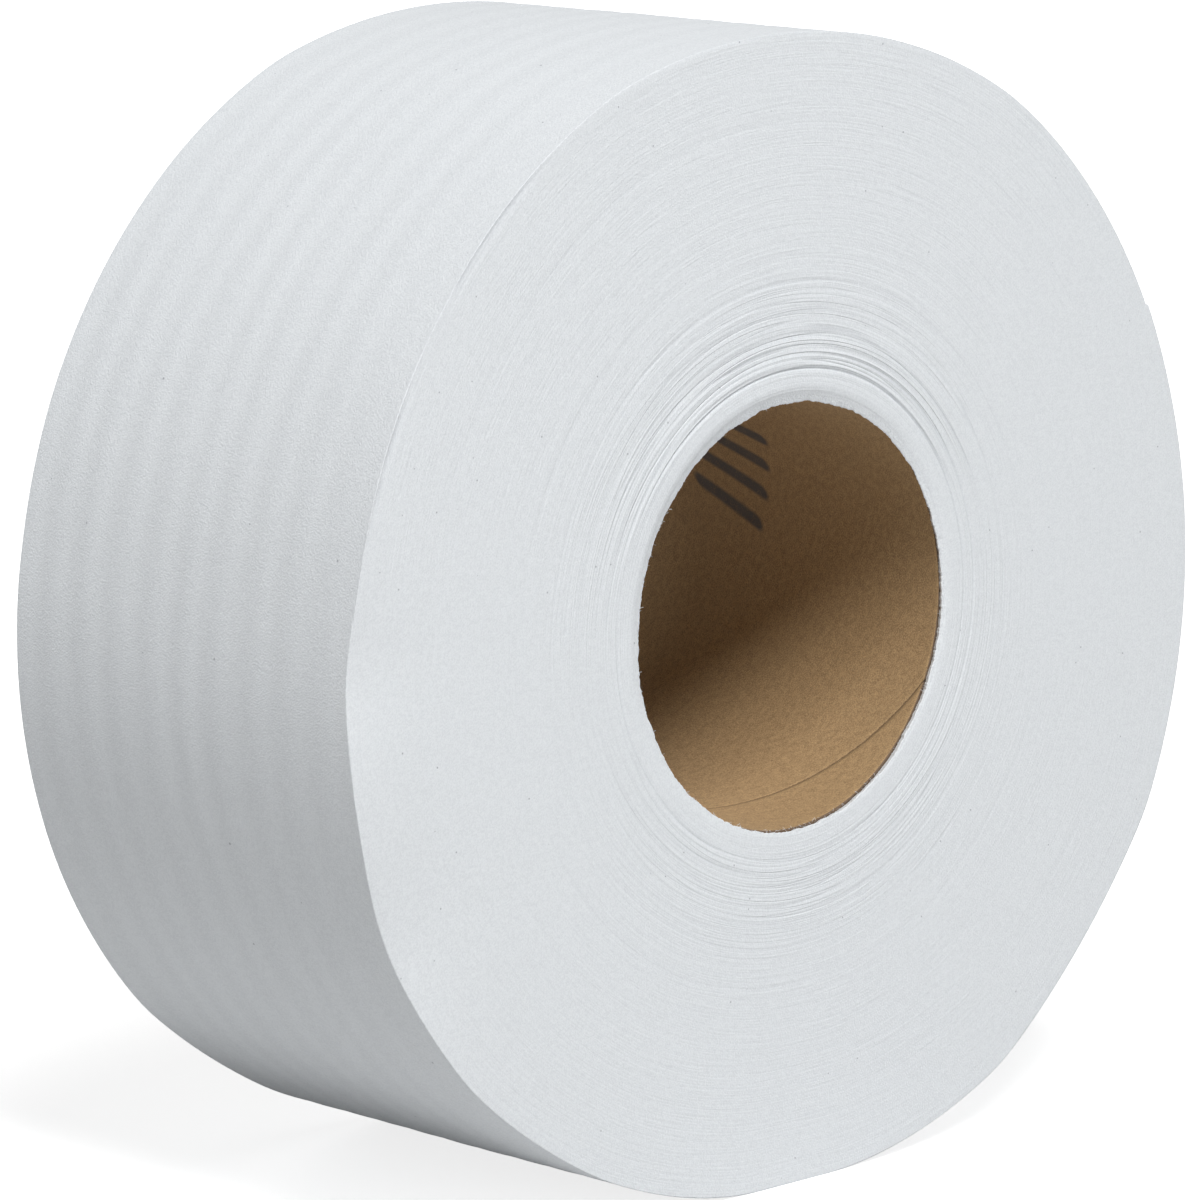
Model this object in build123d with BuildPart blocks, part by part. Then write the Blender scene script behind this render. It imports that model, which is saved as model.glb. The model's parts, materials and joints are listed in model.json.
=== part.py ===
from build123d import *
from math import cos, radians, sin
import os

# Jumbo toilet paper roll, standing on its rim.
# Origin at the middle of the core's bore. The bore runs along Y, the front end faces -Y
# and +Z is up. All lengths are in millimetres and all angles in degrees.
# A swell is how far the outline stands outside the plain radius of the roll.

# Driving dimensions of the roll
roll_diameter = 229.0
roll_width = 95.0
rim_bevel = 1.0

# Core tube
core_bore_diameter = 84.0
core_wall = 0.8
core_setback = 0.3
wound_gap = 0.05

# Rounded lip of the innermost turns around the core
lip_width = 4.6
lip_depth = 1.2

# Grooves between the bands of turns on both ends
lip_to_groove = 0.7
first_band = 2.8
band_growth = 1.3
outer_band = 4.0
groove_width = 0.7
groove_depth = 0.6
groove_fade = 0.88

# Small flat that the soft roll stands on
foot_press = 1.9
foot_width = 25.0

# Flats that the packing pressed into the roll, one low on each side
right_flat_angle = 47.0
right_flat_span = 31.0
right_flat_low_swell = 1.7
right_flat_middle_swell = 0.4
right_flat_high_swell = 1.9
left_flat_angle = 37.0
left_flat_span = 19.0
left_flat_low_swell = 0.0
left_flat_middle_swell = 0.4
left_flat_high_swell = 1.6
corner_radius = 30.0

# Slack stretch over the top, in arcs that share every second point: angle from straight down,
# counted towards +X, and swell
over_the_top = (
    (100.0, -0.4),
    (148.0, -1.0),
    (177.0, -2.3),
    (205.0, -0.3),
    (234.0, -0.6),
    (262.0, -0.3),
    (288.0, 1.3),
)

# Sizes worked out from the ones above
roll_radius = roll_diameter / 2
half_width = roll_width / 2
foot_height = roll_radius - foot_press
core_bore_radius = core_bore_diameter / 2
core_outer_radius = core_bore_radius + core_wall
core_length = roll_width - 2 * (lip_depth + core_setback)
tissue_bore_radius = core_outer_radius + wound_gap
lip_radius = tissue_bore_radius + lip_width
last_groove_limit = roll_radius - rim_bevel - outer_band


def swelled(angle, swell):
    """Point of the outline at an angle from straight down, counted towards +X."""
    radius = roll_radius + swell
    return (radius * sin(radians(angle)), -radius * cos(radians(angle)))


# Corners and middles of the three flats in the end view
foot_right = (foot_width / 2, -foot_height)
foot_left = (-foot_width / 2, -foot_height)
right_low = swelled(right_flat_angle - right_flat_span / 2, right_flat_low_swell)
right_middle = swelled(right_flat_angle, right_flat_middle_swell)
right_high = swelled(right_flat_angle + right_flat_span / 2, right_flat_high_swell)
left_low = swelled(-left_flat_angle + left_flat_span / 2, left_flat_low_swell)
left_middle = swelled(-left_flat_angle, left_flat_middle_swell)
left_high = swelled(-left_flat_angle - left_flat_span / 2, left_flat_high_swell)
top_points = [right_high, *[swelled(angle, swell) for angle, swell in over_the_top], left_high]

# Wound tissue: every turn of the web as one solid
with BuildPart() as tissue_roll:
    with BuildSketch(Plane.XZ) as end_view:
        with BuildLine():
            Line(foot_left, foot_right)
            RadiusArc(foot_right, right_low, -roll_radius)
            ThreePointArc(right_low, right_middle, right_high)
            for start, middle, end in zip(top_points[0::2], top_points[1::2], top_points[2::2]):
                ThreePointArc(start, middle, end)
            ThreePointArc(left_high, left_middle, left_low)
            RadiusArc(left_low, foot_left, -roll_radius)
        make_face()
        fillet(end_view.vertices(), corner_radius)
    extrude(amount=half_width, both=True)
    end_faces = tissue_roll.faces().sort_by(Axis.Y)
    chamfer(end_faces[0].edges() + end_faces[-1].edges(), rim_bevel)

    with BuildSketch(Plane.XZ):
        Circle(tissue_bore_radius)
    extrude(amount=half_width, both=True, mode=Mode.SUBTRACT)

    # Half section of the lip and of the grooves, turned round the bore at both ends
    with BuildSketch(Plane.XY):
        with BuildLine():
            lip = TangentArc(
                (lip_radius, half_width),
                (tissue_bore_radius, half_width - lip_depth),
                tangent=(-1, 0),
            )
            Polyline(
                lip @ 1,
                (core_bore_radius, half_width - lip_depth),
                (core_bore_radius, half_width),
                lip @ 0,
            )
        make_face()
        groove_radius = lip_radius + lip_to_groove
        band = first_band
        depth = groove_depth
        while groove_radius < last_groove_limit:
            with BuildLine():
                Polyline(
                    (groove_radius - groove_width / 2, half_width),
                    (groove_radius, half_width - depth),
                    (groove_radius + groove_width / 2, half_width),
                    close=True,
                )
            make_face()
            groove_radius += band
            band *= band_growth
            depth *= groove_fade
        mirror(about=Plane.XZ)
    revolve(axis=Axis.Y, mode=Mode.SUBTRACT)
tissue_roll.part.label = "tissue_roll"

# Core tube: spirally wound board that ends a little inside the lips
with BuildPart() as core_tube:
    with BuildSketch(Plane.XZ):
        Circle(core_outer_radius)
        Circle(core_bore_radius, mode=Mode.SUBTRACT)
    extrude(amount=core_length / 2, both=True)
core_tube.part.label = "core_tube"

os.makedirs("parts", exist_ok=True)
for piece in (tissue_roll, core_tube):
    export_step(piece.part, f"parts/{piece.part.label}.step")
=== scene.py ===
import json
from math import atan, cos, pi, radians, sin

import bpy
import numpy as np
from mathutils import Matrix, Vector
from mathutils.bvhtree import BVHTree


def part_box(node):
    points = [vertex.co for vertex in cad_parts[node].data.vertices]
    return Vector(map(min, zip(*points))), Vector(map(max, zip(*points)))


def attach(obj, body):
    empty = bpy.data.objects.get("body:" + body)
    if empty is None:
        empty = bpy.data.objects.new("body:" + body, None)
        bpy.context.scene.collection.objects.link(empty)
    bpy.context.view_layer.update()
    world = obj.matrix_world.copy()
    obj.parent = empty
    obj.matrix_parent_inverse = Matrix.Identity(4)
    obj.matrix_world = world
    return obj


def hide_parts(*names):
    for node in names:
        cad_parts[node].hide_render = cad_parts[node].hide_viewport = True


# Looks of a jumbo toilet paper roll that stands on its rim.
# The bore runs along Y, the front end faces -Y and +Z is up. Blender's unit is the metre.
# Angles round the roll are counted from straight down towards +X.

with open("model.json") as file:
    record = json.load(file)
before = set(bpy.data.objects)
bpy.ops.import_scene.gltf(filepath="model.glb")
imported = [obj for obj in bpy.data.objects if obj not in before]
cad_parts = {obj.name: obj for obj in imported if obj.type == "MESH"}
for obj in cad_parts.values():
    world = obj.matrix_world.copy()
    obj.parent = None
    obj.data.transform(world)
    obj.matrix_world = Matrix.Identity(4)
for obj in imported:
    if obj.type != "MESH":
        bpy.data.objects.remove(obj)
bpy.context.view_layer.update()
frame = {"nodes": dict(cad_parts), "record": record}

mm = 0.001

# Sizes read from the frame
mounts = {mount["name"]: mount for mount in frame["record"]["mounts"]}
core_bore_radius = mounts["core_bore"]["dims"]["r_mm"] * mm
core_half_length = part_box("core_tube")[1].y
core_outer_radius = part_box("core_tube")[1].x
half_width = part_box("tissue_roll")[1].y
floor_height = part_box("tissue_roll")[0].z

# Outline of the roll, whose swells fade from the rim to the lip by a power, its rounded rim and
# the crease inside the outermost sheet
roll_radius = 114.5 * mm
swell_power = 1.4
rim_rounding = 0.15 * mm
crease_inset = 0.5 * mm

# Stretches of the front rim that lie a little back: depth, then middle and width in degrees,
# and the powers by which they fade along the side and towards the core
rim_setbacks = ((1.3 * mm, -65, 8), (1.1 * mm, -91, 6))
setback_side_power = 4
setback_end_power = 6

# Lip of the innermost turns round the core. It droops most near the top, a little to one side.
wound_gap = 0.05 * mm
lip_width = 4.2 * mm
lip_overhang = 0.3 * mm
lip_rounding = 0.25 * mm
lip_slope_width = 2.4 * mm
lip_drop = 0.6 * mm
droop_lean = radians(18)
droop_mean = 0.55
droop_swing = 0.45
tissue_bore_radius = core_outer_radius + wound_gap
lip_inner_radius = tissue_bore_radius - lip_overhang
lip_radius = tissue_bore_radius + lip_width

# Grooves between the bands of turns
lip_to_groove = 0.7 * mm
first_band = 2.8 * mm
band_growth = 1.3
groove_width = 0.7 * mm
groove_depth = 0.36 * mm
groove_fade = 0.8

# Rows and columns of the roll's mesh
column_count = 244
face_step_at_lip = 0.18 * mm
face_step_at_rim = 1.0 * mm
rows_inside_rim = (0.8 * mm, 0.55 * mm, 0.3 * mm, 0.08 * mm)
lip_edge_rows = 4
lip_rows = 10
rim_rows = 3
side_rows = 76
bore_rows = 4
bore_inset = 0.1 * mm

# Tail of the web, on the side away from the photo
tail_angle = radians(118)
tail_step_width = radians(0.08)
tail_lift = 0.35 * mm
tail_lift_reach = radians(5)
sheet_thickness = 0.22 * mm

# Frayed cut edge of the innermost turn, which hangs lower at the top, and the lint on it.
# Each wave is a number of teeth round the turn and their share of the reach.
fray_columns = 1600
fray_radius = 42.0 * mm
fray_hang = 0.5 * mm
fray_reach = 0.6 * mm
fray_gap = 0.5 * mm
fray_flare = 0.35 * mm
fray_curl = 0.13 * mm
fray_tip_drop = 0.55 * mm
fray_root_reach = 0.5 * mm
fray_root_sink = 0.03 * mm
fray_waves = ((60, 0.4), (230, 0.35), (760, 0.25))

# Seam of the core's inner ply, on the bore
seam_angle = radians(7.1)
seam_height = -24.1 * mm
seam_rise = -0.518
seam_width = 0.6 * mm
seam_wall_share = 0.15
seam_depth = 0.3 * mm
core_columns = 180
core_rows = 121
core_rows_per_outer_row = 3
core_edge = 0.05 * mm

# Steps that give each seed, each end and each kind of mark another stretch of a noise
seed_step = 117.0
end_step = 431.0
fold_step = 57.0
rear_edge_seed_step = 50

# Colours
# Light white of the tissue's strands, and the painted highlight on the crests of the turns' edges
strand_and_highlight_white = (0.86, 0.888, 0.905)
tissue_white = (0.808, 0.836, 0.86)
# Darker tissue, for the tissue's own uneven tone and for the painted shade along the side's bands
tissue_tone_and_painted_shade = (0.748, 0.775, 0.8)
# Painted shade: the grey that the grooves, the rim crease and the gaps between the turns are
# darkened towards
painted_shade_grey = (0.45, 0.47, 0.51)
speck_grey = (0.33, 0.34, 0.37)
board_light = (0.5, 0.335, 0.17)
board_dark = (0.28, 0.18, 0.09)
board_fleck = (0.14, 0.09, 0.055)
cut_board = (0.19, 0.13, 0.085)
# Painted shade in the gap of the core's seam
painted_seam_shade = (0.04, 0.028, 0.02)
ink = (0.05, 0.053, 0.06)
floor_grey = (0.58, 0.58, 0.58)

# The photo's camera, from the fit to the roll's outline
camera_place = Vector((-0.85726, -0.87853, 0.21581))
camera_azimuth = radians(-44.09)
camera_elevation = radians(10.11)
camera_lens = 189.34
camera_sensor = 36.0


# Node trees

def add_node(tree, kind, inputs=None, **settings):
    """New node with its settings made, and its inputs joined or given a value."""
    node = tree.nodes.new(kind)
    for name, value in settings.items():
        setattr(node, name, value)
    for key, value in (inputs or {}).items():
        if isinstance(value, bpy.types.NodeSocket):
            tree.links.new(value, node.inputs[key])
        else:
            node.inputs[key].default_value = value
    return node


def maths(tree, operation, *values):
    """Output of a Math node."""
    node = add_node(tree, "ShaderNodeMath", dict(enumerate(values)), operation=operation)
    return node.outputs[0]


def product(tree, *factors):
    """Two or more values multiplied in their order."""
    result = factors[0]
    for factor in factors[1:]:
        result = maths(tree, "MULTIPLY", result, factor)
    return result


def off_middle(tree, value, middle=0.5):
    """How far a value lies from the middle, with its sign."""
    return maths(tree, "SUBTRACT", value, middle)


def vector_maths(tree, operation, *values):
    """Vector output of a Vector Math node."""
    node = add_node(tree, "ShaderNodeVectorMath", dict(enumerate(values)), operation=operation)
    return node.outputs[0]


def number_maths(tree, operation, *vectors):
    """Value output of a Vector Math node, such as a length or a dot product."""
    node = add_node(tree, "ShaderNodeVectorMath", dict(enumerate(vectors)), operation=operation)
    return node.outputs["Value"]


def scaled(tree, vector, factor):
    """Vector times a number."""
    inputs = {"Vector": vector, "Scale": factor}
    return add_node(tree, "ShaderNodeVectorMath", inputs, operation="SCALE").outputs[0]


def vector_of(tree, x=0.0, y=0.0, z=0.0):
    """Vector made of three numbers."""
    return add_node(tree, "ShaderNodeCombineXYZ", {0: x, 1: y, 2: z}).outputs[0]


def parts_of(tree, vector):
    """The three numbers of a vector."""
    return add_node(tree, "ShaderNodeSeparateXYZ", {0: vector}).outputs


def ramp(tree, value, low=0.0, high=1.0, to_low=0.0, to_high=1.0):
    """Smooth change from one value to another while the input goes from low to high."""
    inputs = {
        "Value": value, "From Min": low, "From Max": high, "To Min": to_low, "To Max": to_high,
    }
    node = add_node(tree, "ShaderNodeMapRange", inputs, interpolation_type="SMOOTHSTEP")
    return node.outputs[0]


def noise(tree, vector, detail=1.0, roughness=0.5):
    """Factor of a noise texture, from 0 to 1 about a half."""
    inputs = {"Vector": vector, "Scale": 1.0, "Detail": detail, "Roughness": roughness}
    return add_node(tree, "ShaderNodeTexNoise", inputs).outputs[0]


def round_direction(tree, position):
    """Direction from the roll's axis to a point, in the plane of the ends."""
    return vector_maths(tree, "NORMALIZE", vector_maths(tree, "MULTIPLY", position, (1, 0, 1)))


def round_noise(tree, position, along, spread, pitch, shift, detail=1.0, roughness=0.5):
    """Noise that runs round the roll: spread sets how often it changes round a turn, along divided
    by pitch sets how often it changes across the turns, and shift picks another stretch of it."""
    direction = parts_of(tree, scaled(tree, round_direction(tree, position), spread))
    across = maths(tree, "ADD", maths(tree, "DIVIDE", along, pitch), shift)
    return noise(tree, vector_of(tree, direction[0], direction[2], across), detail, roughness)


def new_geometry_tree(name, sizes):
    """Geometry Nodes tree with a named input for each size, a seed and a material."""
    tree = bpy.data.node_groups.new(name, "GeometryNodeTree")
    tree.interface.new_socket("Geometry", in_out="INPUT", socket_type="NodeSocketGeometry")
    for size in sizes:
        tree.interface.new_socket(size, in_out="INPUT", socket_type="NodeSocketFloat")
    tree.interface.new_socket("Seed", in_out="INPUT", socket_type="NodeSocketInt")
    tree.interface.new_socket("Material", in_out="INPUT", socket_type="NodeSocketMaterial")
    tree.interface.new_socket("Geometry", in_out="OUTPUT", socket_type="NodeSocketGeometry")
    return tree, tree.nodes.new("NodeGroupInput").outputs


def close_geometry_tree(tree, geometry, material):
    """Last nodes of a tree: everything is realized and gets its material."""
    realized = add_node(tree, "GeometryNodeRealizeInstances", {0: geometry}).outputs[0]
    painted = add_node(
        tree, "GeometryNodeSetMaterial", {"Geometry": realized, "Material": material}
    ).outputs[0]
    add_node(tree, "NodeGroupOutput", {0: painted})


def apply_tree(piece, tree, values):
    """Runs a tree on a piece and keeps the result as the piece's plain mesh."""
    modifier = piece.modifiers.new(tree.name, "NODES")
    modifier.node_group = tree
    identifiers = {
        item.name: item.identifier
        for item in tree.interface.items_tree
        if item.in_out == "INPUT"
    }
    for name, value in values.items():
        modifier[identifiers[name]] = value
    depsgraph = bpy.context.evaluated_depsgraph_get()
    result = bpy.data.meshes.new_from_object(
        piece.evaluated_get(depsgraph), preserve_all_data_layers=True, depsgraph=depsgraph
    )
    piece.modifiers.clear()
    piece.data = result
    result.polygons.foreach_set("use_smooth", [True] * len(result.polygons))


# Meshes

def new_piece(name, points=None, faces=(), attributes=None):
    """Object at the origin with a smooth mesh and its float attributes."""
    mesh = bpy.data.meshes.new(name)
    if points is not None:
        mesh.from_pydata(points.tolist(), [], faces)
    for key, values in (attributes or {}).items():
        layer = mesh.attributes.new(key, "FLOAT", "POINT")
        layer.data.foreach_set("value", values.ravel())
    mesh.polygons.foreach_set("use_smooth", [True] * len(mesh.polygons))
    piece = bpy.data.objects.new(name, mesh)
    bpy.context.scene.collection.objects.link(piece)
    return piece


def closed_grid(rows, columns):
    """Faces of a grid of points that closes on itself both ways."""
    faces = []
    for row in range(rows):
        next_row = (row + 1) % rows
        for column in range(columns):
            next_column = (column + 1) % columns
            faces.append((
                row * columns + column,
                row * columns + next_column,
                next_row * columns + next_column,
                next_row * columns + column,
            ))
    return faces


def turned_points(radii, along, angles):
    """Points at radii and angles round the roll's axis, one row of the mesh after another."""
    points = np.stack([radii * np.sin(angles), along, -radii * np.cos(angles)], axis=-1)
    return points.reshape(-1, 3)


def outline_radii(node_name, angles):
    """Radius of a CAD node's outer surface at each angle, halfway along the roll."""
    mesh = frame["nodes"][node_name].data
    tree = BVHTree.FromPolygons(
        [vertex.co for vertex in mesh.vertices], [tuple(face.vertices) for face in mesh.polygons]
    )
    outside = 3 * roll_radius
    radii = []
    for angle in angles:
        direction = Vector((sin(angle), 0, -cos(angle)))
        hit = tree.ray_cast(direction * outside, -direction)[0]
        radii.append(hit.length)
    return np.array(radii)


def soft_outline(count, per_column=6, passes=60):
    """The roll's outline with the facets of the CAD mesh smoothed out."""
    angles = np.arange(count * per_column) * 2 * pi / (count * per_column)
    radii = outline_radii("tissue_roll", angles)
    for _ in range(passes):
        radii = (np.roll(radii, 1) + 2 * radii + np.roll(radii, -1)) / 4
    return angles[::per_column], radii[::per_column]


def bell(angles, middle, width):
    """1 at the middle angle, fading to 0 on both sides. The middle and the width are in degrees."""
    away = (np.degrees(angles) - middle + 180) % 360 - 180
    return np.exp(-((away / width) ** 2))


def lip_sink(radius):
    """How far the lip's slope lies behind the end's plane, at the top of the hole."""
    share = np.clip((radius - lip_inner_radius) / lip_slope_width, 0, 1)
    return lip_drop * (1 - share) ** 2


def lip_droop(angles):
    """Share of the lip's sink round the hole: all of it near the top, little near the bottom."""
    return droop_mean - droop_swing * np.cos(angles - droop_lean)


def end_rows():
    """Rows of one end's section, from the bore to the rim. Each row is its plain radius, its
    distance from the middle of the roll and its share in the end's relief."""
    rows = []
    for row in range(lip_edge_rows):
        turn = row / lip_edge_rows * pi / 2
        radius = lip_inner_radius + lip_rounding * (1 - cos(turn))
        rows.append((radius, half_width - lip_sink(radius) - lip_rounding * (1 - sin(turn)), 1.0))
    slope_start = lip_inner_radius + lip_rounding
    for radius in np.linspace(slope_start, lip_radius, lip_rows, endpoint=False):
        rows.append((radius, half_width - lip_sink(radius), 1.0))
    face_edge = roll_radius - rim_rounding
    radius = lip_radius
    while radius < face_edge - rows_inside_rim[0]:
        rows.append((radius, half_width, 1.0))
        share = (radius - lip_radius) / (face_edge - lip_radius)
        radius += face_step_at_lip + (face_step_at_rim - face_step_at_lip) * share
    rows += [(face_edge - inside, half_width, 1.0) for inside in rows_inside_rim]
    for row in range(rim_rows):
        turn = row / (rim_rows - 1) * pi / 2
        rows.append((
            face_edge + rim_rounding * sin(turn),
            half_width - rim_rounding * (1 - cos(turn)),
            cos(turn),
        ))
    return rows


def roll_rows():
    """Rows of the roll's whole section, in a ring through the bore, the ends and the side. Each row
    is its plain radius, its place along Y and the end that it belongs to: -1 front, 1 rear, 0 side
    and bore."""
    end = end_rows()
    side_edge = half_width - rim_rounding - rows_inside_rim[-1]
    bore_edge = core_half_length - bore_inset
    rows = [(radius, -place, -share) for radius, place, share in end]
    rows += [(roll_radius, place, 0.0) for place in np.linspace(-side_edge, side_edge, side_rows)]
    rows += reversed(end)
    rows += [
        (tissue_bore_radius, bore_edge * (1 - 2 * row / (bore_rows - 1)), 0.0)
        for row in range(bore_rows)
    ]
    return np.array(rows[::-1])


def wound_roll():
    """The whole web as one closed mesh, with the plain radius of each point as an attribute."""
    angles, outline = soft_outline(column_count)

    # The web grows by a sheet in its last turn, which ends in a step that is a little loose
    tail_column = int(tail_angle / (2 * pi) * column_count)
    angles = np.insert(angles, tail_column + 1, angles[tail_column] + tail_step_width)
    outline = np.insert(outline, tail_column + 1, outline[tail_column])
    from_tail = (angles - angles[tail_column + 1]) % (2 * pi)
    outline = outline + sheet_thickness * (from_tail / (2 * pi) - 0.5)
    outline += tail_lift * np.exp(-(2 * pi - from_tail) / tail_lift_reach) * (from_tail > 0)

    rows = roll_rows()
    share = np.clip((rows[:, 0] - lip_radius) / (roll_radius - lip_radius), 0, 1)
    swell = outline - roll_radius
    radii = rows[:, 0][:, None] + share[:, None] ** swell_power * swell[None, :]

    # Each point's place along Y, with the front rim's setbacks and the lip less sunk low down
    set_back = sum(depth * bell(angles, middle, width) for depth, middle, width in rim_setbacks)
    toward_front = np.clip(-rows[:, 1] / half_width, 0, 1)
    fade = toward_front ** setback_side_power * share ** setback_end_power
    along = rows[:, 1][:, None] + fade[:, None] * set_back[None, :]
    sink = lip_sink(rows[:, 0]) * rows[:, 2]
    along += sink[:, None] * (1 - lip_droop(angles))[None, :]

    # The foot is flat before the relief goes on, and is pressed flat again after it
    points = turned_points(radii, along, angles[None, :])
    points[:, 2] = np.maximum(points[:, 2], floor_height)
    attributes = {
        "turn_radius": np.repeat(rows[:, 0], len(angles)) / mm,
        "end_side": np.repeat(rows[:, 2], len(angles)),
    }
    return new_piece("wound_tissue", points, closed_grid(len(rows), len(angles)), attributes)


# Relief of the turns. In these functions lengths are in millimetres, a spread sets how often a
# noise changes round a turn and a pitch how often it changes across the turns or along the side.

def relief_round(tree, sockets, position):
    """Strength of an end's relief round the roll: all of it over the hole, least at its sides."""
    # Rise of the direction from the axis, where the strength starts to change and where it ends
    level, steep = 0.1, 0.85
    at_sides, at_bottom = sockets["Relief At Sides"], sockets["Relief At Bottom"]
    rise = parts_of(tree, round_direction(tree, position))[2]
    over_hole = ramp(tree, rise, level, steep, at_sides, 1.0)
    under_hole = ramp(tree, rise, -steep, -level, at_bottom, at_sides)
    return maths(tree, "MAXIMUM", over_hole, under_hole)


def groove_mask(tree, sockets, position, radius, outside_lip, end_seed, relief):
    """Mask of the grooves. Each band is wider than the last by the same factor, so that grooves
    lie where a logarithm of the radius is a whole number."""
    # Keeps the logarithm's input above zero on the lip
    least_grown = 0.8
    flank_share = 0.6
    break_spread, break_pitch = 1.3, 2.0
    break_levels, broken_depth = (0.3, 0.62), 0.12
    lip_fade = 0.5

    growth, first = sockets["Band Growth"], sockets["First Band"]
    from_first = maths(tree, "SUBTRACT", outside_lip, sockets["Lip To Groove"])
    grown = product(tree, from_first, maths(tree, "SUBTRACT", growth, 1.0))
    grown = maths(tree, "ADD", maths(tree, "DIVIDE", grown, first), 1.0)
    count = maths(tree, "LOGARITHM", maths(tree, "MAXIMUM", grown, least_grown), growth)
    nearest = maths(tree, "MAXIMUM", maths(tree, "ROUND", count), 0.0)
    band_here = product(tree, first, maths(tree, "POWER", growth, nearest))
    off = maths(tree, "ABSOLUTE", off_middle(tree, count, nearest))
    off = product(tree, off, band_here)
    groove = ramp(tree, off, 0.0, product(tree, sockets["Groove Width"], flank_share), 1.0, 0.0)
    broken = round_noise(tree, position, radius, break_spread, break_pitch, end_seed)
    return product(
        tree,
        groove,
        maths(tree, "POWER", sockets["Groove Fade"], nearest),
        relief,
        ramp(tree, broken, *break_levels, broken_depth, 1.0),
        ramp(tree, outside_lip, 0.0, lip_fade),
    )


def ridge_height(tree, sockets, position, radius, outside_lip, end_seed, relief):
    """Soft ridges of the turns with finer ones on them, strongest near the core."""
    ridge_spread, ridge_detail, ridge_roughness = 1.1, 2.0, 0.6
    fine_spread = 0.9
    lip_fade = (-0.3, 0.8)

    reach = product(tree, sockets["Ridge Reach"], -1.0)
    near_core = maths(tree, "EXPONENT", maths(tree, "DIVIDE", outside_lip, reach))
    size = maths(
        tree, "MULTIPLY_ADD", near_core, sockets["Ridge Relief"], sockets["Outer Relief"])
    ridges = round_noise(tree, position, radius, ridge_spread, sockets["Ridge Pitch"], end_seed,
                         ridge_detail, ridge_roughness)
    ridges = product(tree, off_middle(tree, ridges), size)
    fine = round_noise(tree, position, radius, fine_spread, sockets["Fine Pitch"], end_seed)
    fine_size = product(tree, near_core, sockets["Fine Relief"])
    ridges = maths(tree, "MULTIPLY_ADD", off_middle(tree, fine), fine_size, ridges)
    return product(tree, ridges, ramp(tree, outside_lip, *lip_fade), relief)


def rim_crease(tree, sockets, position, radius, end_side, seed):
    """Crease inside the outermost sheet, which stands proud over one stretch of the front rim."""
    flank = (0.15, 0.85)
    middle_direction, ends = (-0.82, 0, 0.57), (0.91, 0.98)
    front_only = (-0.9, -1.0)
    parting_spread, parting_pitch = 14.0, 9.0
    parting_levels, shallow, deep = (0.35, 0.6), 0.1, 0.7

    off = maths(tree, "ABSOLUTE", off_middle(tree, radius, sockets["Crease Radius"]))
    toward = number_maths(
        tree, "DOT_PRODUCT", round_direction(tree, position), middle_direction)
    parted = round_noise(tree, position, radius, parting_spread, parting_pitch, seed)
    return product(
        tree,
        ramp(tree, off, *flank, 1.0, 0.0),
        ramp(tree, toward, *ends),
        ramp(tree, end_side, *front_only),
        ramp(tree, parted, *parting_levels, shallow, deep),
    )


def side_relief(tree, sockets, position, radius, end_side, seed):
    """Soft bands and shallow dents on the side: the bands alone, which the tissue's colour takes as
    painted shade and light, and both as a height.
    """
    side_radii = (100.0, 110.0)
    wander_spread, wander_pitch, wander_share = 1.0, 16.0, 0.5
    strength_spread, strength_pitch, strength_levels, weakest = 2.6, 12.0, (0.3, 0.65), 0.6
    front_fade, front_strength = (-44.0, -24.0), 0.3
    dent_spread, dent_pitch = 3.0, 45.0

    along = maths(tree, "DIVIDE", parts_of(tree, position)[1], mm)
    side_share = maths(tree, "SUBTRACT", 1.0, maths(tree, "ABSOLUTE", end_side))
    side_share = product(tree, side_share, ramp(tree, radius, *side_radii))
    wander = round_noise(tree, position, along, wander_spread, wander_pitch, seed)
    phase = off_middle(tree, along, sockets["Band Start"])
    phase = maths(tree, "DIVIDE", phase, sockets["Band Pitch"])
    phase = maths(tree, "MULTIPLY_ADD", off_middle(tree, wander), wander_share, phase)
    wave = maths(tree, "SINE", product(tree, phase, 2 * pi))
    strength = round_noise(tree, position, along, strength_spread, strength_pitch, seed)
    strength = product(
        tree,
        ramp(tree, strength, *strength_levels, weakest, 1.0),
        ramp(tree, along, *front_fade, front_strength, 1.0),
        side_share,
    )
    bands = product(tree, wave, strength)
    dents = round_noise(tree, position, along, dent_spread, dent_pitch, seed)
    dents = product(tree, off_middle(tree, dents), sockets["Dent Relief"], side_share)
    return bands, maths(tree, "MULTIPLY_ADD", bands, sockets["Band Relief"], dents)


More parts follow.
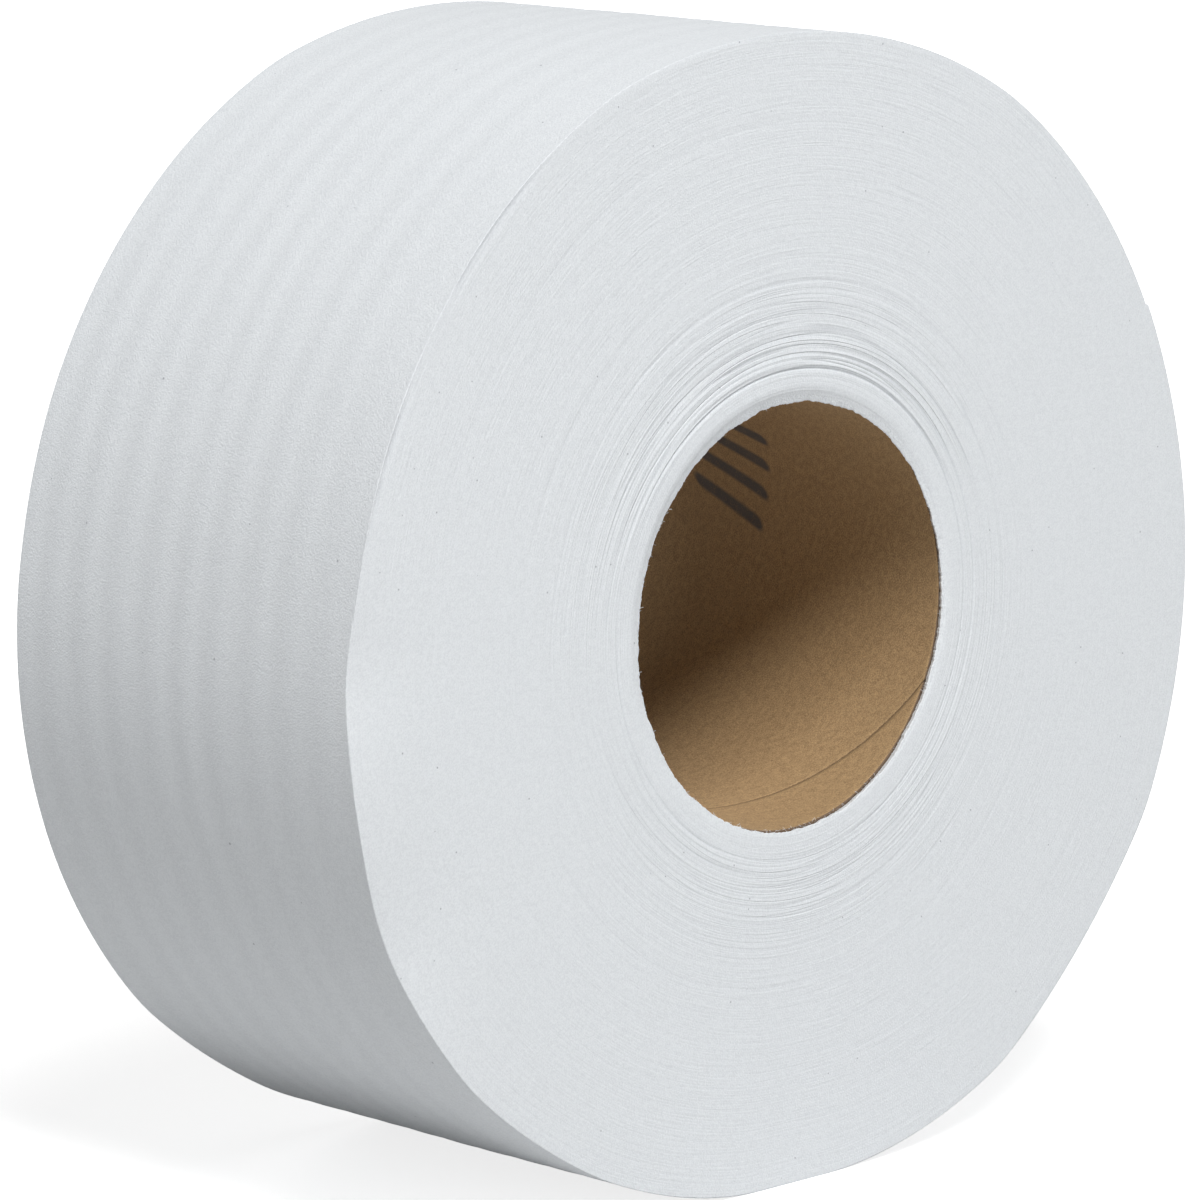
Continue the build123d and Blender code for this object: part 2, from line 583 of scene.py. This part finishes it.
def turns_tree():
    """Geometry Nodes for the relief of the turns on both ends and of the soft bands on the side.
    The sizes are in millimetres."""
    sizes = (
        "Lip Radius", "Lip To Groove", "First Band", "Band Growth", "Groove Width", "Groove Depth",
        "Groove Fade", "Relief At Sides", "Relief At Bottom", "Ridge Relief", "Ridge Pitch",
        "Ridge Reach", "Outer Relief", "Fine Relief", "Fine Pitch", "Crease Radius",
        "Crease Depth", "Band Pitch", "Band Start", "Band Relief", "Dent Relief",
    )
    tree, sockets = new_geometry_tree("Turns of the web", sizes)
    position = tree.nodes.new("GeometryNodeInputPosition").outputs[0]
    radius, end_side = (
        add_node(
            tree, "GeometryNodeInputNamedAttribute", {"Name": name}, data_type="FLOAT"
        ).outputs[0]
        for name in ("turn_radius", "end_side")
    )
    seed = product(tree, sockets["Seed"], seed_step)
    end_seed = maths(tree, "MULTIPLY_ADD", end_side, end_step, seed)
    outside_lip = maths(tree, "SUBTRACT", radius, sockets["Lip Radius"])

    relief = relief_round(tree, sockets, position)
    groove = groove_mask(tree, sockets, position, radius, outside_lip, end_seed, relief)
    ridges = ridge_height(tree, sockets, position, radius, outside_lip, end_seed, relief)
    crease = rim_crease(tree, sockets, position, radius, end_side, seed)
    sunk = product(tree, groove, sockets["Groove Depth"])
    sunk = maths(tree, "MULTIPLY_ADD", crease, sockets["Crease Depth"], sunk)
    height = product(tree, maths(tree, "SUBTRACT", ridges, sunk), end_side)
    bands, swelling = side_relief(tree, sockets, position, radius, end_side, seed)

    out_vector = scaled(tree, round_direction(tree, position), product(tree, swelling, mm))
    end_vector = vector_of(tree, y=product(tree, height, mm))
    moved = add_node(tree, "GeometryNodeSetPosition", {
        "Geometry": sockets["Geometry"],
        "Offset": vector_maths(tree, "ADD", out_vector, end_vector),
    }).outputs[0]
    # Masks for the tissue's colour: painted shade in the grooves and the crease, painted shade and
    # light along the bands, and the relief's strength round the roll
    painted = {"painted_crevice_shade": maths(tree, "ADD", groove, crease), "band": bands, "relief": relief}
    for name, value in painted.items():
        inputs = {"Geometry": moved, "Name": name, "Value": value}
        moved = add_node(
            tree, "GeometryNodeStoreNamedAttribute", inputs, data_type="FLOAT", domain="POINT"
        ).outputs[0]
    close_geometry_tree(tree, moved, sockets["Material"])
    return tree


def stand_on_floor(piece):
    """Presses a piece's lowest points flat on the floor."""
    vertices = piece.data.vertices
    points = np.empty(len(vertices) * 3)
    vertices.foreach_get("co", points)
    points[2::3] = np.maximum(points[2::3], floor_height)
    vertices.foreach_set("co", points)


def ragged_profile(count, seed):
    """Uneven height round a full turn, from 0 to 1: fine teeth on longer waves."""
    random = np.random.default_rng(seed)
    profile = np.zeros(count)
    for teeth, share in fray_waves:
        heights = random.random(teeth)
        places = np.linspace(0, teeth, count, endpoint=False)
        profile += share * np.interp(places, np.arange(teeth + 1), np.append(heights, heights[0]))
    profile -= profile.min()
    return profile / profile.max()


def frayed_turn(name, end, seed):
    """Cut edge of the innermost turn, a ragged ring that reaches over the core's end."""
    angles = np.arange(fray_columns) * 2 * pi / fray_columns
    droop = lip_droop(angles)
    hang = fray_hang * np.cos(angles - droop_lean)
    inner = fray_radius + hang - fray_reach * ragged_profile(fray_columns, seed)
    rear_edge = ragged_profile(fray_columns, seed + rear_edge_seed_step)
    rear = core_half_length + fray_gap * rear_edge
    outer = np.full(fray_columns, lip_inner_radius + fray_root_reach)
    root = half_width - (lip_sink(outer) + fray_root_sink) * droop
    tip = root - fray_tip_drop * droop
    section = [
        (inner + fray_curl, tip),
        (outer, root),
        (outer, rear),
        (inner + fray_flare, rear),
        (inner, tip - fray_curl),
    ]
    if end < 0:
        section.reverse()
    radii = np.stack([radius for radius, _ in section])
    along = np.stack([place * end for _, place in section])
    points = turned_points(radii, along, angles[None, :])
    piece = new_piece(name, points, closed_grid(len(section), fray_columns))
    piece.data.shade_flat()
    return piece


def lint_tree():
    """Geometry Nodes for loose fibres on a ring round the bore. The sizes are in metres."""
    sizes = (
        "Ring Radius", "Ring Place", "Scatter", "Fibre Count", "Fibre Length", "Fibre Thickness",
    )
    ring_points, fibre_steps, fibre_sides = 200, 4, 3
    shortest, longest = 0.5, 1.4
    # Shape of a fibre of unit length, as a curve from the origin
    start_handle, end_handle, fibre_end = (0.3, 0.35, 0.0), (0.7, -0.3, 0.3), (1.0, 0.0, 0.1)
    tree, sockets = new_geometry_tree("Cut lint", sizes)

    ring = add_node(tree, "GeometryNodeCurvePrimitiveCircle", {
        "Resolution": ring_points, "Radius": sockets["Ring Radius"],
    }).outputs["Curve"]
    points = add_node(
        tree, "GeometryNodeCurveToPoints", {"Curve": ring, "Count": sockets["Fibre Count"]},
        mode="COUNT").outputs["Points"]

    def random_vector(low, high, shift):
        """Random vector whose three numbers lie between low and high."""
        seed = maths(tree, "ADD", sockets["Seed"], shift)
        return add_node(
            tree, "FunctionNodeRandomValue", {0: (low,) * 3, 1: (high,) * 3, "Seed": seed},
            data_type="FLOAT_VECTOR").outputs[0]

    offset = scaled(tree, random_vector(-1.0, 1.0, 1), sockets["Scatter"])
    points = add_node(
        tree, "GeometryNodeSetPosition", {"Geometry": points, "Offset": offset}).outputs[0]

    length = sockets["Fibre Length"]
    curl = add_node(tree, "GeometryNodeCurvePrimitiveBezierSegment", {
        "Resolution": fibre_steps,
        "Start": (0, 0, 0),
        "Start Handle": scaled(tree, start_handle, length),
        "End Handle": scaled(tree, end_handle, length),
        "End": scaled(tree, fibre_end, length),
    }).outputs[0]
    section = add_node(tree, "GeometryNodeCurvePrimitiveCircle", {
        "Resolution": fibre_sides,
        "Radius": product(tree, sockets["Fibre Thickness"], 0.5),
    }).outputs["Curve"]
    fibre = add_node(
        tree, "GeometryNodeCurveToMesh",
        {"Curve": curl, "Profile Curve": section, "Fill Caps": True}).outputs[0]

    fibres = add_node(tree, "GeometryNodeInstanceOnPoints", {
        "Points": points,
        "Instance": fibre,
        "Rotation": random_vector(-pi, pi, 2),
        "Scale": random_vector(shortest, longest, 3),
    }).outputs[0]
    placed = add_node(tree, "GeometryNodeTransform", {
        "Geometry": fibres,
        "Translation": vector_of(tree, y=sockets["Ring Place"]),
        "Rotation": (pi / 2, 0, 0),
    }).outputs[0]
    close_geometry_tree(tree, placed, sockets["Material"])
    return tree


def core_board():
    """The spirally wound core, with its inner ply's seam as a shallow gap along a helix."""
    half_gap = seam_width / core_bore_radius / 2
    wall = seam_wall_share * half_gap
    gap_columns = np.array([-half_gap, -half_gap + wall, half_gap - wall, half_gap])
    rest = np.linspace(half_gap, 2 * pi - half_gap, core_columns)[1:-1]
    columns = np.concatenate([gap_columns, rest])
    sunk = np.zeros(len(columns))
    sunk[1:3] = seam_depth

    # Each row is its radius, its place along Y, 1 where the seam is open and 1 on a cut end
    edge = core_half_length - core_edge
    heights = np.linspace(-edge, edge, core_rows)
    rows = [(core_bore_radius, height, 1, 0) for height in heights]
    rows += [(core_bore_radius + core_edge, core_half_length, 1, 1)]
    rows += [(core_outer_radius - core_edge, core_half_length, 0, 1)]
    rows += [(core_outer_radius, height, 0, 0) for height in heights[::-core_rows_per_outer_row]]
    rows += [(core_outer_radius - core_edge, -core_half_length, 0, 1)]
    rows += [(core_bore_radius + core_edge, -core_half_length, 1, 1)]
    radius, height, open_seam, cut_end = (np.array(column)[:, None] for column in zip(*rows))

    seam = seam_angle + (height - seam_height) / (seam_rise * core_bore_radius)
    angles = seam + columns[None, :]
    radii = radius + open_seam * sunk[None, :]
    arc = angles * core_bore_radius
    slope = np.arctan(seam_rise)
    attributes = {
        "bore_arc": arc / mm,
        "ply_along": (arc * np.cos(slope) + height * np.sin(slope)) / mm,
        "ply_across": (height * np.cos(slope) - arc * np.sin(slope)) / mm,
        "cut_end": cut_end + 0 * angles,
        # The open seam, which the board's colour darkens with painted shade
        "painted_crevice_shade": open_seam * (sunk[None, :] > 0) + 0 * angles,
    }
    points = turned_points(radii, height + 0 * angles, angles)
    return new_piece("core_board", points, closed_grid(len(rows), len(columns)), attributes)


# Materials

def new_shader_group(name, sizes, outputs):
    """Shader group with a place in millimetres and named sizes as its inputs."""
    tree = bpy.data.node_groups.new(name, "ShaderNodeTree")
    tree.interface.new_socket("Place", in_out="INPUT", socket_type="NodeSocketVector")
    for size in sizes:
        tree.interface.new_socket(size, in_out="INPUT", socket_type="NodeSocketFloat")
    for output in outputs:
        tree.interface.new_socket(output, in_out="OUTPUT", socket_type="NodeSocketFloat")
    return tree, tree.nodes.new("NodeGroupInput").outputs


def number_mix(tree, factor, first, second):
    """Mix of two numbers."""
    return add_node(tree, "ShaderNodeMix", {0: factor, 2: first, 3: second}).outputs[0]


def paper_fibre_group():
    """Felted fibres of paper or board: short strands that lie two ways, a fine grain and a
    broader mottle."""
    strand_lays = ((0.55, 0.62, 0.56), (-0.5, 0.58, -0.64))
    strand_levels = (0.52, 0.78)
    tree, sockets = new_shader_group(
        "Paper fibre",
        ("Grain Size", "Mottle Size", "Mottle Share", "Strand Width", "Strand Stretch"),
        ("Tone", "Strands", "Height"),
    )
    place = sockets["Place"]

    def plain_noise(vector, size):
        """Noise without finer detail, at a size."""
        return noise(tree, scaled(tree, vector, maths(tree, "DIVIDE", 1.0, size)), detail=0.0)

    grain = plain_noise(place, sockets["Grain Size"])
    mottle = plain_noise(place, sockets["Mottle Size"])
    tone = number_mix(tree, sockets["Mottle Share"], grain, mottle)

    shrink = off_middle(tree, maths(tree, "DIVIDE", 1.0, sockets["Strand Stretch"]), 1.0)
    strands = 0.0
    for lay in strand_lays:
        along = number_maths(tree, "DOT_PRODUCT", place, lay)
        shorter = scaled(tree, lay, product(tree, along, shrink))
        strand = plain_noise(vector_maths(tree, "ADD", place, shorter), sockets["Strand Width"])
        strands = maths(tree, "MAXIMUM", strands, strand)
    strands = ramp(tree, strands, *strand_levels)
    add_node(tree, "NodeGroupOutput", {"Tone": tone, "Strands": strands, "Height": grain})
    return tree


def specks_group():
    """Small specks in the pulp: a mask that is 1 on each speck."""
    smallest, largest = 0.3, 0.6
    core_share = 0.4
    tree, sockets = new_shader_group("Pulp specks", ("Spacing", "Size", "Share"), ("Mask",))
    scale = maths(tree, "DIVIDE", 1.0, sockets["Spacing"])
    cells = add_node(
        tree, "ShaderNodeTexVoronoi", {"Vector": sockets["Place"], "Scale": scale}).outputs
    chance = add_node(tree, "ShaderNodeSeparateColor", {0: cells["Color"]}).outputs
    distance = product(tree, cells["Distance"], sockets["Spacing"])
    reach = product(
        tree, sockets["Size"], ramp(tree, chance[1], to_low=smallest, to_high=largest))
    spot = ramp(tree, distance, product(tree, reach, core_share), reach, 1.0, 0.0)
    chosen = maths(tree, "LESS_THAN", chance[0], sockets["Share"])
    add_node(tree, "NodeGroupOutput", {"Mask": product(tree, spot, chosen)})
    return tree


def new_material(name, base_color, roughness, specular=0.2):
    """Plain material, its node tree and its shader."""
    material = bpy.data.materials.new(name)
    material.use_nodes = True
    tree = material.node_tree
    shader = tree.nodes["Principled BSDF"]
    shader.inputs["Base Color"].default_value = (*base_color, 1)
    shader.inputs["Roughness"].default_value = roughness
    shader.inputs["Specular IOR Level"].default_value = specular
    return material, tree, shader


def finish_shader(tree, shader, color, height, bump_distance):
    """Gives a shader its colour and the bump of a height."""
    tree.links.new(color, shader.inputs["Base Color"])
    bump = add_node(
        tree, "ShaderNodeBump", {"Strength": 1.0, "Distance": bump_distance, "Height": height})
    tree.links.new(bump.outputs[0], shader.inputs["Normal"])


def object_place(tree):
    """Place on the object, in metres."""
    return tree.nodes.new("ShaderNodeTexCoord").outputs["Object"]


def attribute(tree, name):
    """Value of a mesh attribute."""
    return add_node(tree, "ShaderNodeAttribute", attribute_name=name).outputs["Fac"]


def mixed(tree, factor, first, second):
    """Mix of two colours, each a colour or a socket."""
    first, second = (
        (*color, 1) if isinstance(color, tuple) else color for color in (first, second)
    )
    node = add_node(tree, "ShaderNodeMix", {0: factor, 6: first, 7: second}, data_type="RGBA")
    return node.outputs[2]


def turn_edges(tree, place, turn_radius, on_end, end_side):
    """Cut edges of the turns on the ends, long and clear near the core, short and broken towards
    the rim: their height, the painted shade in the gaps between them and the painted highlight
    on their crests."""
    # Zones by plain radius in millimetres, each from where it starts to fade to where it ends
    core_zone, lip_zone, spread_zone = (49.0, 74.0), (45.5, 48.5), (49.0, 80.0)
    spread_at_core, spread_at_rim = 0.8, 6.0
    edge_pitch, edge_roughness = 0.5, 0.65
    relief_at_rim, relief_at_core, lip_relief = 1.2, 2.6, 0.7
    seen_on_lip = 0.6
    # The gap settings give painted shade between the turns' edges, the crest settings a painted
    # highlight on them
    gap_levels, gap_at_rim, gap_at_core = (0.28, 0.4), 0.08, 0.2
    crest_levels, crest_at_rim, crest_at_core = (0.59, 0.72), 0.15, 0.6
    fold_spread, fold_pitch, fold_width = 0.9, 1.3, 0.05
    fold_levels, faint_fold = (0.35, 0.6), 0.3
    fold_height, fold_painted_shade = -2.0, 0.25

    near_core = ramp(tree, turn_radius, *core_zone, 1.0, 0.0)
    on_lip = ramp(tree, turn_radius, *lip_zone, 1.0, 0.0)
    end_seed = product(tree, end_side, end_step)
    spread = ramp(tree, turn_radius, *spread_zone, spread_at_core, spread_at_rim)
    edges = round_noise(
        tree, place, turn_radius, spread, edge_pitch, end_seed, roughness=edge_roughness)
    edge_relief = product(
        tree,
        ramp(tree, near_core, to_low=relief_at_rim, to_high=relief_at_core),
        ramp(tree, on_lip, to_low=1.0, to_high=lip_relief),
    )
    height = product(tree, edges, edge_relief)
    seen = product(
        tree, on_end, ramp(tree, on_lip, to_low=1.0, to_high=seen_on_lip),
        attribute(tree, "relief"))
    painted_gap_shade = product(
        # Painted shade where the turns' edges part
        tree,
        ramp(tree, edges, *gap_levels, 1.0, 0.0),
        seen,
        ramp(tree, near_core, to_low=gap_at_rim, to_high=gap_at_core),
    )
    # Painted highlight on the crests of the turns' edges
    painted_crest_highlight = product(
        tree,
        ramp(tree, edges, *crest_levels),
        seen,
        ramp(tree, near_core, to_low=crest_at_rim, to_high=crest_at_core),
    )

    # Thin creases between single turns near the core, on the contour lines of a stretched noise.
    # They sink the height and add painted shade to the gaps.
    fold_seed = maths(tree, "ADD", end_seed, fold_step)
    folds = round_noise(
        tree, place, turn_radius, fold_spread, fold_pitch, fold_seed, detail=0.0)
    off_fold = maths(tree, "ABSOLUTE", off_middle(tree, folds))
    fold = product(
        tree,
        ramp(tree, off_fold, 0.0, fold_width, 1.0, 0.0),
        near_core,
        product(tree, seen, maths(tree, "SUBTRACT", 1.0, on_lip)),
        ramp(tree, edges, *fold_levels, faint_fold, 1.0),
    )
    height = maths(tree, "MULTIPLY_ADD", fold, fold_height, height)
    painted_gap_shade = maths(tree, "MAXIMUM", painted_gap_shade, product(tree, fold, fold_painted_shade))
    return height, painted_gap_shade, painted_crest_highlight


def tissue_material(fibre, specks):
    """White creped tissue, with the edges of its turns on the roll's ends. Its colour has painted
    shade in the grooves, the crease and the gaps between turns, a painted highlight on the crests,
    and painted shade and light along the side's bands.
    """
    crepe_on_end, crepe_on_side = 0.6, 1.5
    bump_distance = 0.06 * mm
    tone_levels, band_painted_shade = (0.3, 0.7), 0.3
    strand_share, painted_crevice_share, speck_share = 0.6, 0.3, 0.7

    material, tree, shader = new_material("creped_tissue", tissue_white, roughness=0.95)
    place = scaled(tree, object_place(tree), 1 / mm)
    end_side = attribute(tree, "end_side")
    on_end = maths(tree, "ABSOLUTE", end_side)
    edge_height, painted_gap_shade, painted_crest_highlight = turn_edges(
        tree, place, attribute(tree, "turn_radius"), on_end, end_side)

    crepe = add_node(tree, "ShaderNodeGroup", {
        "Place": place, "Grain Size": 0.36, "Mottle Size": 1.1, "Mottle Share": 0.35,
        "Strand Width": 0.24, "Strand Stretch": 6.0,
    }, node_tree=fibre).outputs
    end_height = maths(tree, "MULTIPLY_ADD", crepe["Height"], crepe_on_end, edge_height)
    side_height = product(tree, crepe["Height"], crepe_on_side)
    height = number_mix(tree, on_end, side_height, end_height)

    shade = ramp(tree, crepe["Tone"], *tone_levels)
    # Painted shade and light along the side's bands, added to the tissue's own tone
    shade = maths(tree, "MULTIPLY_ADD", attribute(tree, "band"), band_painted_shade, shade)
    spots = add_node(tree, "ShaderNodeGroup", {
        "Place": place, "Spacing": 4.5, "Size": 0.6, "Share": 0.5,
    }, node_tree=specks).outputs["Mask"]
    # Painted shade in the grooves and the rim crease
    painted_crevices = product(tree, attribute(tree, "painted_crevice_shade"), painted_crevice_share)
    color = mixed(tree, shade, tissue_white, tissue_tone_and_painted_shade)
    color = mixed(tree, product(tree, crepe["Strands"], strand_share), color, strand_and_highlight_white)
    color = mixed(tree, painted_crevices, color, painted_shade_grey)
    # Painted shade in the gaps between the turns
    color = mixed(tree, painted_gap_shade, color, painted_shade_grey)
    # Painted highlight on the crests
    color = mixed(tree, painted_crest_highlight, color, strand_and_highlight_white)
    color = mixed(tree, product(tree, spots, speck_share), color, speck_grey)
    finish_shader(tree, shader, color, height, bump_distance)
    return material


def ink_bars(tree, place, arc):
    """Mask of four plain bars, whose front ends follow the lay of the ply. Sizes in millimetres."""
    # Front end of the first bar round the bore and along it, and the steps from bar to bar
    bar_count, first, pitch = 4, 73.5, 7.0
    front_of_first, front_step = 3.5, -3.1
    length, slant, half_thickness, softness = 14.0, 7.3, 1.5, 0.6
    lean = slant / length
    bar_pitch = pitch - front_step * lean
    y = parts_of(tree, place)[1]
    # Arc with the slant taken out, which is the same all along a bar
    slanted = product(tree, off_middle(tree, y, front_of_first), lean)
    upright = maths(tree, "SUBTRACT", arc, slanted)
    index = maths(tree, "DIVIDE", off_middle(tree, upright, first), bar_pitch)
    index = maths(tree, "MAXIMUM", maths(tree, "ROUND", index), 0.0)
    index = maths(tree, "MINIMUM", index, bar_count - 1)
    middle = maths(tree, "MULTIPLY_ADD", index, bar_pitch, first)
    aside = product(tree, off_middle(tree, upright, middle), cos(atan(lean)))
    front = maths(tree, "MULTIPLY_ADD", index, front_step, front_of_first)
    from_front = off_middle(tree, y, front)
    beyond = maths(tree, "ABSOLUTE", off_middle(tree, from_front, length / 2))
    beyond = maths(tree, "MAXIMUM", off_middle(tree, beyond, length / 2), 0.0)
    away = number_maths(tree, "LENGTH", vector_of(tree, aside, beyond))
    return ramp(tree, away, half_thickness - softness, half_thickness + softness, 1.0, 0.0)


def kraft_material(fibre, specks):
    """Brown kraft board with its felted ply, its cut ends, painted shade in its seam's gap and
    plain bars of ink.
    """
    ply_stretch = 1.5
    strand_share, tone_levels = 0.12, (0.24, 0.82)
    fleck_share = 0.45
    ink_levels, ink_thin, ink_full = (0.3, 0.5), 0.6, 0.9
    bump_distance = 0.05 * mm

    material, tree, shader = new_material(
        "kraft_board", board_light, roughness=0.85, specular=0.45)
    place = scaled(tree, object_place(tree), 1 / mm)
    along, across = (attribute(tree, name) for name in ("ply_along", "ply_across"))
    ply_place = vector_of(tree, maths(tree, "DIVIDE", along, ply_stretch), across)
    felt = add_node(tree, "ShaderNodeGroup", {
        "Place": ply_place, "Grain Size": 0.25, "Mottle Size": 1.1, "Mottle Share": 0.3,
        "Strand Width": 0.2, "Strand Stretch": 5.0,
    }, node_tree=fibre).outputs
    flecks = add_node(tree, "ShaderNodeGroup", {
        "Place": ply_place, "Spacing": 2.2, "Size": 0.5, "Share": 0.5,
    }, node_tree=specks).outputs["Mask"]
    bars = product(
        tree,
        ink_bars(tree, place, attribute(tree, "bore_arc")),
        ramp(tree, felt["Tone"], *ink_levels, ink_thin, ink_full),
    )
    tone = maths(tree, "MULTIPLY_ADD", felt["Strands"], strand_share, felt["Tone"])
    color = mixed(tree, ramp(tree, tone, *tone_levels), board_dark, board_light)
    color = mixed(tree, product(tree, flecks, fleck_share), color, board_fleck)
    color = mixed(tree, bars, color, ink)
    color = mixed(tree, attribute(tree, "cut_end"), color, cut_board)
    # Painted shade in the open seam's gap
    color = mixed(tree, attribute(tree, "painted_crevice_shade"), color, painted_seam_shade)
    finish_shader(tree, shader, color, felt["Height"], bump_distance)
    return material


def dress(piece, node_name):
    """Piece that takes a CAD node's place."""
    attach(piece, "root")
    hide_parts(node_name)


# The roll
fibre = paper_fibre_group()
specks = specks_group()
tissue = tissue_material(fibre, specks)

roll = wound_roll()
apply_tree(roll, turns_tree(), {
    "Lip Radius": lip_radius / mm,
    "Lip To Groove": lip_to_groove / mm,
    "First Band": first_band / mm,
    "Band Growth": band_growth,
    "Groove Width": groove_width / mm,
    "Groove Depth": groove_depth / mm,
    "Groove Fade": groove_fade,
    "Relief At Sides": 0.3,
    "Relief At Bottom": 0.55,
    "Ridge Relief": 0.42,
    "Ridge Pitch": 1.5,
    "Ridge Reach": 13.0,
    "Outer Relief": 0.08,
    "Fine Relief": 0.5,
    "Fine Pitch": 0.5,
    "Crease Radius": (roll_radius - rim_rounding - crease_inset) / mm,
    "Crease Depth": 0.24,
    "Band Pitch": 9.65,
    "Band Start": -3.2,
    "Band Relief": 0.075,
    "Dent Relief": 0.4,
    "Seed": 4,
    "Material": tissue,
})
stand_on_floor(roll)
dress(roll, "tissue_roll")

lint = lint_tree()
for name, end, seed in (("front", -1, 11), ("rear", 1, 12)):
    edge = frayed_turn("frayed_turn_" + name, end, seed)
    edge.data.materials.append(tissue)
    dress(edge, "tissue_roll")
    fluff = new_piece("cut_lint_" + name)
    apply_tree(fluff, lint, {
        "Ring Radius": fray_radius,
        "Ring Place": end * (half_width - lip_drop),
        "Scatter": 0.25 * mm,
        "Fibre Count": 420.0,
        "Fibre Length": 0.6 * mm,
        "Fibre Thickness": 0.07 * mm,
        "Seed": seed,
        "Material": tissue,
    })
    dress(fluff, "tissue_roll")

core = core_board()
core.data.materials.append(kraft_material(fibre, specks))
dress(core, "core_tube")


# Floor, light and camera

def seen_directly(tree):
    """1 on rays that show the background: from the camera, and in gloss and glass."""
    path = tree.nodes.new("ShaderNodeLightPath").outputs
    seen = maths(tree, "MAXIMUM", path["Is Camera Ray"], path["Is Glossy Ray"])
    return maths(tree, "MAXIMUM", seen, path["Is Transmission Ray"])


def plain_floor():
    """Pale floor that takes a shadow under the roll and is white further away."""
    size = 6.0
    white_from, white_at, glow_under_roll = 0.15, 0.4, 0.78
    corners = ((-size, -size), (size, -size), (size, size), (-size, size))
    points = np.array([(x, y, floor_height) for x, y in corners])
    floor = new_piece("floor", points, [(0, 1, 2, 3)])
    material, tree, shader = new_material("pale_floor", floor_grey, roughness=0.9)
    away = number_maths(tree, "LENGTH", object_place(tree))
    white = ramp(tree, away, white_from, white_at, glow_under_roll, 1.0)
    strength = product(tree, seen_directly(tree), white)
    glow = add_node(tree, "ShaderNodeEmission", {"Strength": strength})
    both = add_node(tree, "ShaderNodeAddShader", {0: shader.outputs[0], 1: glow.outputs[0]})
    tree.links.new(both.outputs[0], tree.nodes["Material Output"].inputs["Surface"])
    material.cycles.emission_sampling = "NONE"
    floor.data.materials.append(material)


def white_world():
    """White background that only the camera, gloss and glass see, so that it adds no soft light."""
    world = bpy.data.worlds.new("white_world")
    bpy.context.scene.world = world
    world.use_nodes = True
    background = world.node_tree.nodes["Background"]
    background.inputs["Color"].default_value = (1, 1, 1, 1)
    world.node_tree.links.new(seen_directly(world.node_tree), background.inputs["Strength"])
    world.cycles.sampling_method = "NONE"


def soft_lamp(name, azimuth, elevation, size, power, distance=3.2):
    """Square area lamp that points at the middle of the roll. The azimuth is counted from the
    front towards the left, in degrees."""
    turn, rise = radians(azimuth), radians(elevation)
    place = distance * Vector((-cos(rise) * sin(turn), -cos(rise) * cos(turn), sin(rise)))
    data = bpy.data.lights.new(name, "AREA")
    data.size = size
    data.energy = power
    lamp = bpy.data.objects.new(name, data)
    bpy.context.scene.collection.objects.link(lamp)
    lamp.location = place
    lamp.rotation_euler = (-place).to_track_quat("-Z", "Y").to_euler()


def photo_camera():
    """Camera at the photo's place and angle."""
    data = bpy.data.cameras.new("photo_camera")
    data.lens = camera_lens
    data.sensor_width = camera_sensor
    camera = bpy.data.objects.new("photo_camera", data)
    bpy.context.scene.collection.objects.link(camera)
    camera.location = camera_place
    camera.rotation_euler = (pi / 2 - camera_elevation, 0, camera_azimuth)
    bpy.context.scene.camera = camera


plain_floor()
white_world()
soft_lamp("key_lamp", azimuth=26, elevation=50, size=0.8, power=63.5)
soft_lamp("high_lamp", azimuth=26, elevation=65, size=0.7, power=37)
soft_lamp("rear_fill", azimuth=-152, elevation=14, size=1.5, power=25)
soft_lamp("left_fill", azimuth=95, elevation=6, size=1.5, power=19)
soft_lamp("front_fill", azimuth=-3, elevation=4, size=0.8, power=12)
photo_camera()
bpy.context.scene.view_settings.view_transform = "Standard"
